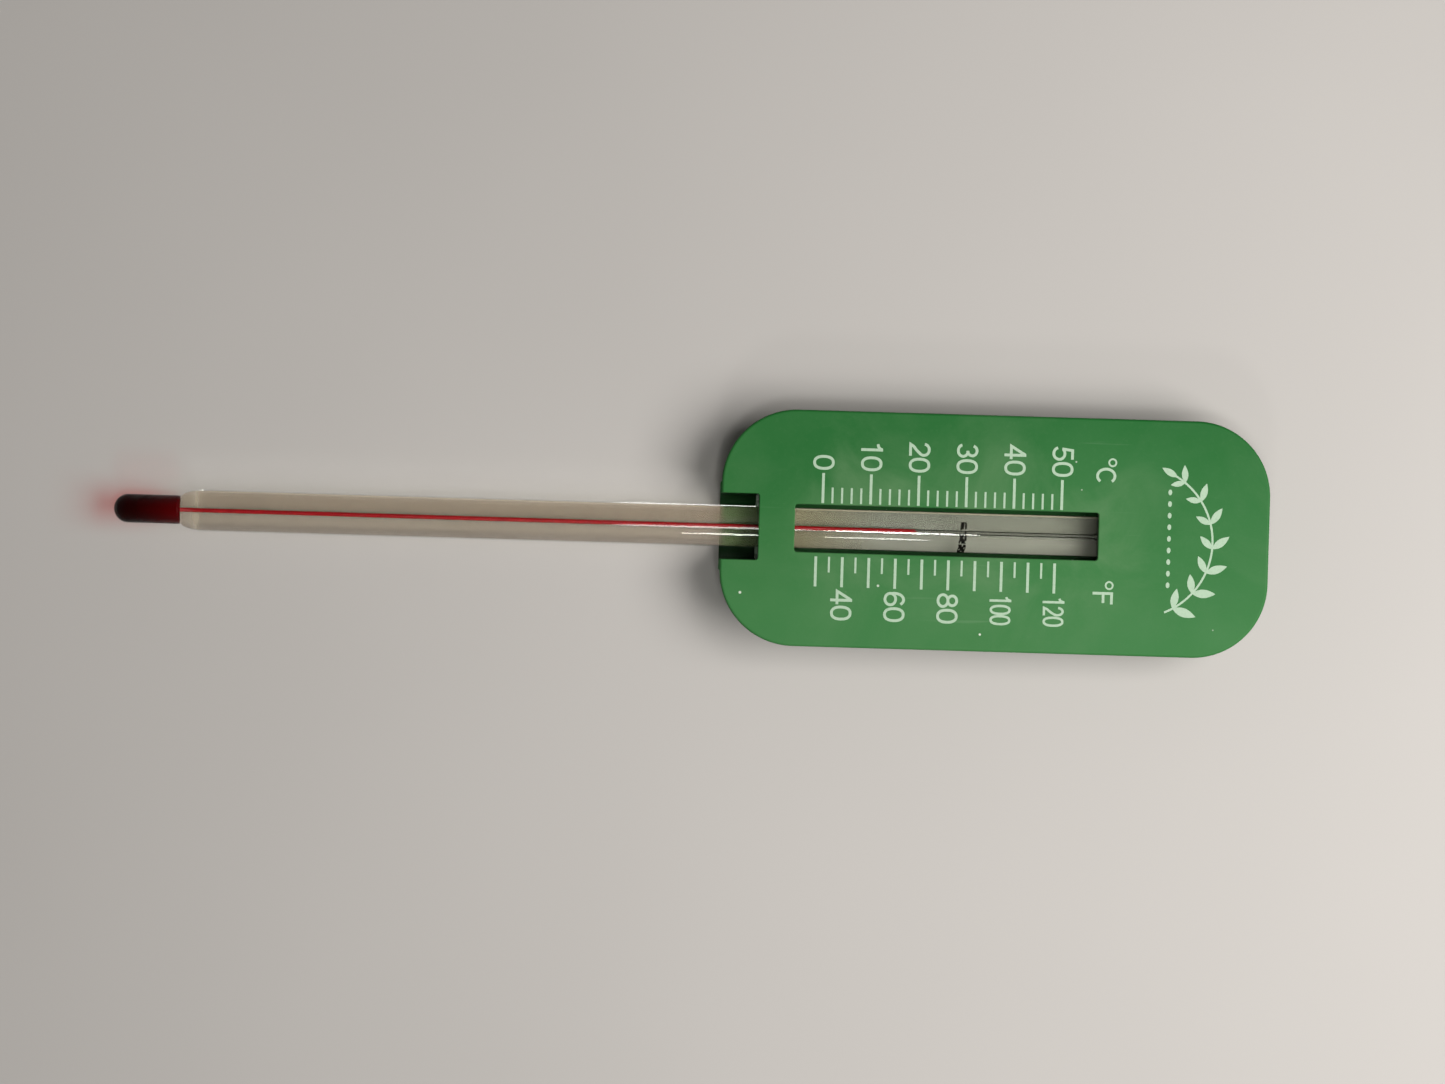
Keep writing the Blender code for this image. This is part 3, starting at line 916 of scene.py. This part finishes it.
def make_setting_mark():
    """A painted stroke across the tube, patchy and worn: painted cells of a sheet bent round the glass."""
    body = bmesh.new()
    grid = {}

    def corner(i, j, radius):
        key = (i, j, radius)
        if key not in grid:
            angle = MARK_UPPER_EDGE + (MARK_LOWER_EDGE - MARK_UPPER_EDGE) * j / MARK_ROWS
            x = MARK_LOW.x + (MARK_HIGH.x - MARK_LOW.x) * i / MARK_COLUMNS
            grid[key] = body.verts.new((x, radius * math.cos(angle), AXIS + radius * math.sin(angle)))
        return grid[key]

    cells = painted_cells()
    for i, j in sorted(cells):
        square = ((i, j), (i + 1, j), (i + 1, j + 1), (i, j + 1))
        body.faces.new([corner(a, b, PAINT_OUTER) for a, b in square])
        body.faces.new([corner(a, b, PAINT_INNER) for a, b in reversed(square)])
        for k, neighbour in enumerate(((i, j - 1), (i + 1, j), (i, j + 1), (i - 1, j))):
            if neighbour not in cells:
                first, second = square[k], square[(k + 1) % 4]
                wall = (
                    corner(*first, PAINT_OUTER),
                    corner(*first, PAINT_INNER),
                    corner(*second, PAINT_INNER),
                    corner(*second, PAINT_OUTER),
                )
                body.faces.new(wall)
    mark = mesh_object("mark_brushed_on", body)
    dress(mark, mark_paint())
    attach(mark, "thermometer")
    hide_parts("setting_mark")


# ---------------------------------------------------------------- the print


def stroke_sides(points, width, closed):
    """The two sides of a stroke along its centreline."""
    count = len(points)
    left, right = [], []
    for i, point in enumerate(points):
        before = points[(i - 1) % count] if closed or i > 0 else point
        after = points[(i + 1) % count] if closed or i < count - 1 else point
        first = (Vector(point) - Vector(before)).normalized() if before != point else None
        second = (Vector(after) - Vector(point)).normalized() if after != point else None
        first = first or second
        second = second or first
        along = (first + second).normalized()
        reach = width / 2 / max(along.dot(first), 0.35)
        side = Vector((-along.y, along.x)) * reach
        left.append(Vector(point) + side)
        right.append(Vector(point) - side)
    return left, right


def stroke_solid(body, points, width, closed=False):
    """A flat raised stroke, in the plane of the printed face."""
    low, high = FACE - INK_SINK, FACE + INK_HEIGHT
    rows = []
    for a, b in zip(*stroke_sides(points, width, closed)):
        corners = ((a.x, a.y, low), (b.x, b.y, low), (b.x, b.y, high), (a.x, a.y, high))
        rows.append([body.verts.new(place) for place in corners])
    pairs = list(zip(rows, rows[1:]))
    if closed:
        pairs.append((rows[-1], rows[0]))
    faces = []
    for before, after in pairs:
        for i in range(4):
            j = (i + 1) % 4
            faces.append(body.faces.new((before[i], before[j], after[j], after[i])))
    if not closed:
        faces.append(body.faces.new(rows[0]))
        faces.append(body.faces.new(rows[-1]))
    bmesh.ops.recalc_face_normals(body, faces=faces)


def patch_solid(body, outline):
    """A flat raised patch, in the plane of the printed face."""
    bottom = [body.verts.new((x, y, FACE - INK_SINK)) for x, y in outline]
    top = [body.verts.new((x, y, FACE + INK_HEIGHT)) for x, y in outline]
    faces = [body.faces.new(bottom), body.faces.new(top)]
    for i in range(len(outline)):
        j = (i + 1) % len(outline)
        faces.append(body.faces.new((bottom[i], bottom[j], top[j], top[i])))
    bmesh.ops.recalc_face_normals(body, faces=faces)


def oval(centre, radii, start=0.0, end=360.0, steps=28, squareness=2.0):
    """Points round an ellipse, in degrees. A squareness above 2 flattens its sides."""
    points = []
    power = 2.0 / squareness
    for i in range(steps + 1):
        angle = math.radians(start + (end - start) * i / steps)
        c, s = math.cos(angle), math.sin(angle)
        x = centre[0] + radii[0] * math.copysign(abs(c) ** power, c)
        y = centre[1] + radii[1] * math.copysign(abs(s) ** power, s)
        points.append((x, y))
    return points


def open_line(*points):
    return (list(points), False)


def open_curve(*shape):
    return (oval(*shape), False)


def closed_oval(centre, radii, steps, squareness=2.0):
    return (oval(centre, radii, steps=steps, squareness=squareness)[:-1], True)


# The strokes of each sign as (centreline, closed), for a height of 1 and a width of about 0.7
GLYPHS = {
    "0": [closed_oval((0.35, 0.5), (0.275, 0.428), 40, 2.35)],
    "1": [
        open_line((0.42, 0.0), (0.42, 1.0)),
        open_line((0.16, 0.765), (0.27, 0.79), (0.355, 0.855), (0.405, 0.96)),
    ],
    "2": [
        open_line(
            *oval((0.35, 0.685), (0.255, 0.243), 172, -38, 22),
            (0.36, 0.335),
            (0.20, 0.215),
            (0.115, 0.072),
            (0.64, 0.072),
        )
    ],
    "3": [
        open_curve((0.335, 0.715), (0.225, 0.213), 165, -90, 22),
        open_curve((0.335, 0.295), (0.262, 0.225), 90, -168, 24),
    ],
    "4": [
        open_line((0.47, 0.0), (0.47, 1.0)),
        open_line((0.445, 0.945), (0.06, 0.31), (0.66, 0.31)),
    ],
    "5": [
        open_line((0.60, 0.928), (0.185, 0.928), (0.122, 0.455)),
        open_curve((0.335, 0.325), (0.268, 0.255), 138, -165, 26),
    ],
    "6": [
        closed_oval((0.352, 0.318), (0.262, 0.246), 32),
        open_curve((0.372, 0.50), (0.288, 0.428), 42, 200, 22),
    ],
    "8": [
        closed_oval((0.35, 0.725), (0.222, 0.203), 28),
        closed_oval((0.35, 0.300), (0.268, 0.228), 32),
    ],
    "C": [open_curve((0.43, 0.5), (0.345, 0.425), 42, 318, 34)],
    "F": [
        open_line((0.09, 0.0), (0.09, 1.0)),
        open_line((0.09, 0.93), (0.62, 0.93)),
        open_line((0.09, 0.52), (0.56, 0.52)),
    ],
}


def write(body, signs, x, y, height, condensed=1.0, stroke=NUMERAL_STROKE):
    """Writes signs whose tops point along +X and which read along -Y. The first one starts at (x, y)."""
    for number, sign in enumerate(signs):
        start = y - number * NUMERAL_PITCH * height * condensed
        for points, closed in GLYPHS[sign]:
            placed = [(x + v * height, start - u * height * condensed) for u, v in points]
            stroke_solid(body, placed, stroke, closed)


def print_object(name, body, ink):
    """Ink in one clean skin. The Boolean welds overlapping strokes, and its far cutter cuts nothing."""
    obj = raw_object(name, body)
    far = bmesh.new()
    patch_solid(far, [(0.5, 0.5), (0.501, 0.5), (0.501, 0.501)])
    combine(obj, "DIFFERENCE", mesh_object("away", far), within_itself=True)
    dress(obj, ink)
    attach(obj, "thermometer")


def celsius_at(reading):
    return ZERO_CELSIUS + reading * PER_DEGREE


def fahrenheit_at(reading):
    return celsius_at((reading - 32) / 1.8)


def make_ticks(name, ink, readings, place, edge, outward):
    """A row of ticks from an edge of the window, longer at each tenth degree."""
    body = bmesh.new()
    for reading in readings:
        long = reading % 10 == 0
        end = edge + outward * (LONG_TICK if long else SHORT_TICK)
        x = place(reading)
        stroke_solid(body, [(x, edge), (x, end)], LONG_TICK_WIDTH if long else SHORT_TICK_WIDTH)
    print_object(name, body, ink)


def make_celsius_numerals(ink):
    body = bmesh.new()
    for reading in range(0, 51, 10):
        signs = str(reading)
        length = len(signs) * NUMERAL_PITCH * NUMERAL_HEIGHT
        y = CELSIUS_EDGE + LONG_TICK + NUMERAL_GAP + length
        write(body, signs, celsius_at(reading) - NUMERAL_HEIGHT / 2, y, NUMERAL_HEIGHT)
    print_object("celsius_numerals", body, ink)


def make_fahrenheit_numerals(ink):
    """The lower numerals. Those of three digits are condensed."""
    body = bmesh.new()
    y = FAHRENHEIT_EDGE - LONG_TICK - NUMERAL_GAP
    for reading in range(40, 121, 20):
        three_digits = reading >= 100
        condensed = THREE_DIGITS_CONDENSED if three_digits else 1.0
        stroke = NUMERAL_STROKE * (THREE_DIGITS_STROKE if three_digits else 1.0)
        x = fahrenheit_at(reading) - NUMERAL_HEIGHT / 2
        write(body, str(reading), x, y, NUMERAL_HEIGHT, condensed, stroke)
    print_object("fahrenheit_numerals", body, ink)


def make_unit_signs(ink):
    """The letters for Celsius and Fahrenheit past the scale's end, each with its degree ring."""
    height = 0.0030
    stroke = 0.00040
    ring_radius = 0.00052
    ring_stroke = 0.00026
    past_scale = 0.0049
    ring_height = 0.0024
    body = bmesh.new()
    x = celsius_at(50) + past_scale
    for sign, start, ring_y in (("C", 0.0102, 0.0109), ("F", -0.0080, -0.0071)):
        write(body, sign, x, start, height, 1.0, stroke)
        ring = oval((x + ring_height, ring_y), (ring_radius, ring_radius))[:-1]
        stroke_solid(body, ring, ring_stroke, True)
    print_object("unit_signs", body, ink)


def leaf(base, direction, length, width):
    """A pointed leaf from its base, as an outline."""
    steps = 12
    along = Vector((math.cos(direction), math.sin(direction)))
    side = Vector((-along.y, along.x))
    outline = []
    for sign in (1, -1):
        for i in range(steps):
            share = i / steps if sign > 0 else 1 - i / steps
            swell = math.sin(math.pi * share) ** 0.85 * (1 - 0.25 * share)
            point = Vector(base) + along * length * share + side * (sign * width / 2 * swell)
            outline.append((point.x, point.y))
    return outline


def on_sprig(angle):
    x = SPRIG_CENTRE[0] + SPRIG_RADIUS * math.cos(angle)
    y = SPRIG_CENTRE[1] + SPRIG_RADIUS * math.sin(angle)
    return (x, y)


def make_emblem(ink):
    """A plain arched sprig with paired leaves and a row of seeds, in place of any wording."""
    body = bmesh.new()
    stem = arc(SPRIG_CENTRE, SPRIG_RADIUS, -SPRIG_REACH - SPRIG_TAIL, SPRIG_REACH, 48)
    stroke_solid(body, stem, SPRIG_STROKE)
    for i in range(LEAF_PAIRS):
        share = i / (LEAF_PAIRS - 1)
        angle = -SPRIG_REACH + 2 * SPRIG_REACH * share * LEAF_SPAN
        size = 1.0 - LEAF_SHRINK * share
        onward = angle + math.pi / 2
        for turn, (length, width) in ((-LEAF_SPREAD, INNER_LEAF), (LEAF_SPREAD, OUTER_LEAF)):
            patch_solid(body, leaf(on_sprig(angle), onward + turn, length * size, width * size))
    for i in range(SEED_COUNT):
        seed = (SEED_FIRST[0], SEED_FIRST[1] - SEED_PITCH * i)
        patch_solid(body, oval(seed, SEED_RADII, steps=20)[:-1])
    patch_solid(body, leaf(on_sprig(SPRIG_REACH - TIP_LEAF_BACK), SPRIG_REACH + math.pi / 2, *TIP_LEAF))
    print_object("sprig_emblem", body, ink)


def make_print():
    ink = printed_ink()
    make_ticks("celsius_ticks", ink, range(0, 51, 2), celsius_at, CELSIUS_EDGE, 1)
    make_ticks("fahrenheit_ticks", ink, range(30, 121, 5), fahrenheit_at, FAHRENHEIT_EDGE, -1)
    make_celsius_numerals(ink)
    make_fahrenheit_numerals(ink)
    make_unit_signs(ink)
    make_emblem(ink)


# ---------------------------------------------------------------- the studio


def make_floor():
    body = bmesh.new()
    bmesh.ops.create_grid(body, x_segments=2, y_segments=2, size=1.5)
    floor = mesh_object("floor", body)
    if floor.data.polygons[0].normal.z < 0:
        floor.data.flip_normals()
    floor.location.z = -0.00002
    dress(floor, pale_floor())


def area_light(name, shape, place, target, size, power, colour):
    light = bpy.data.lights.new(name, "AREA")
    light.shape = shape
    light.size, light.size_y = size
    light.energy = power
    light.color = colour
    obj = link(bpy.data.objects.new(name, light))
    obj.location = place
    obj.rotation_euler = (Vector(target) - Vector(place)).to_track_quat("-Z", "Y").to_euler()


def make_lights():
    """One soft key, and pairs of small panels that draw the two bright lines along the tube."""
    key_white = (1.0, 0.975, 0.945)
    panel_white = (1.0, 0.99, 0.97)
    area_light("key", "RECTANGLE", (0.29, -0.04, 0.37), (0.0, 0.0, 0.0), (0.36, 0.30), 2.65, key_white)
    panels = (
        ("left_panel", (0.003, -0.108, 0.59), (0.062, 0.10), 0.19),
        ("right_panel", (0.057, -0.108, 0.59), (0.046, 0.10), 0.37),
        ("low_left_panel", (0.009, -0.430, 0.40), (0.0335, 0.09), 0.16),
        ("low_right_panel", (0.0494, -0.430, 0.40), (0.031, 0.09), 0.11),
    )
    for name, place, size, power in panels:
        area_light(name, "ELLIPSE", place, (place[0], 0.0, 0.0), size, power, panel_white)


def make_world():
    """A soft room: bright low round the sides, and dimmer overhead."""
    world = bpy.data.worlds.new("studio")
    world.use_nodes = True
    tree = world.node_tree
    background = tree.nodes["Background"]
    background.inputs["Color"].default_value = (1.0, 0.985, 0.96, 1.0)
    place = tree.nodes.new("ShaderNodeTexCoord")
    split = tree.nodes.new("ShaderNodeSeparateXYZ")
    height = tree.nodes.new("ShaderNodeMapRange")
    height.inputs["From Min"].default_value = 0.30
    height.inputs["From Max"].default_value = 0.95
    height.inputs["To Min"].default_value = 0.18
    height.inputs["To Max"].default_value = 0.04
    tree.links.new(place.outputs["Generated"], split.inputs["Vector"])
    tree.links.new(split.outputs["Z"], height.inputs["Value"])
    tree.links.new(height.outputs["Result"], background.inputs["Strength"])
    bpy.context.scene.world = world
    bpy.context.scene.view_settings.view_transform = "Standard"


def make_camera():
    """A camera that looks straight down on the printed face, turned a little."""
    distance = 0.600
    seen_width = 0.2117
    camera = bpy.data.cameras.new("camera")
    camera.sensor_width = 36.0
    camera.lens = camera.sensor_width * distance / seen_width
    camera.clip_start = 0.01
    obj = link(bpy.data.objects.new("camera", camera))
    obj.location = (0.00494, -0.0024, FACE + distance)
    obj.rotation_euler = (0.0, 0.0, math.radians(1.7))
    bpy.context.scene.camera = obj


def dress_adhesive():
    """Better materials for the two glue beads, whose CAD shapes stay."""
    for bead in ("front_adhesive", "rear_adhesive"):
        dress(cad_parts[bead], cloudy_adhesive())


make_camera()
make_floor()
make_lights()
make_world()
make_holder()
make_glass()
make_enamel()
make_bulb_spirit()
make_thread()
make_setting_mark()
make_print()
dress_adhesive()
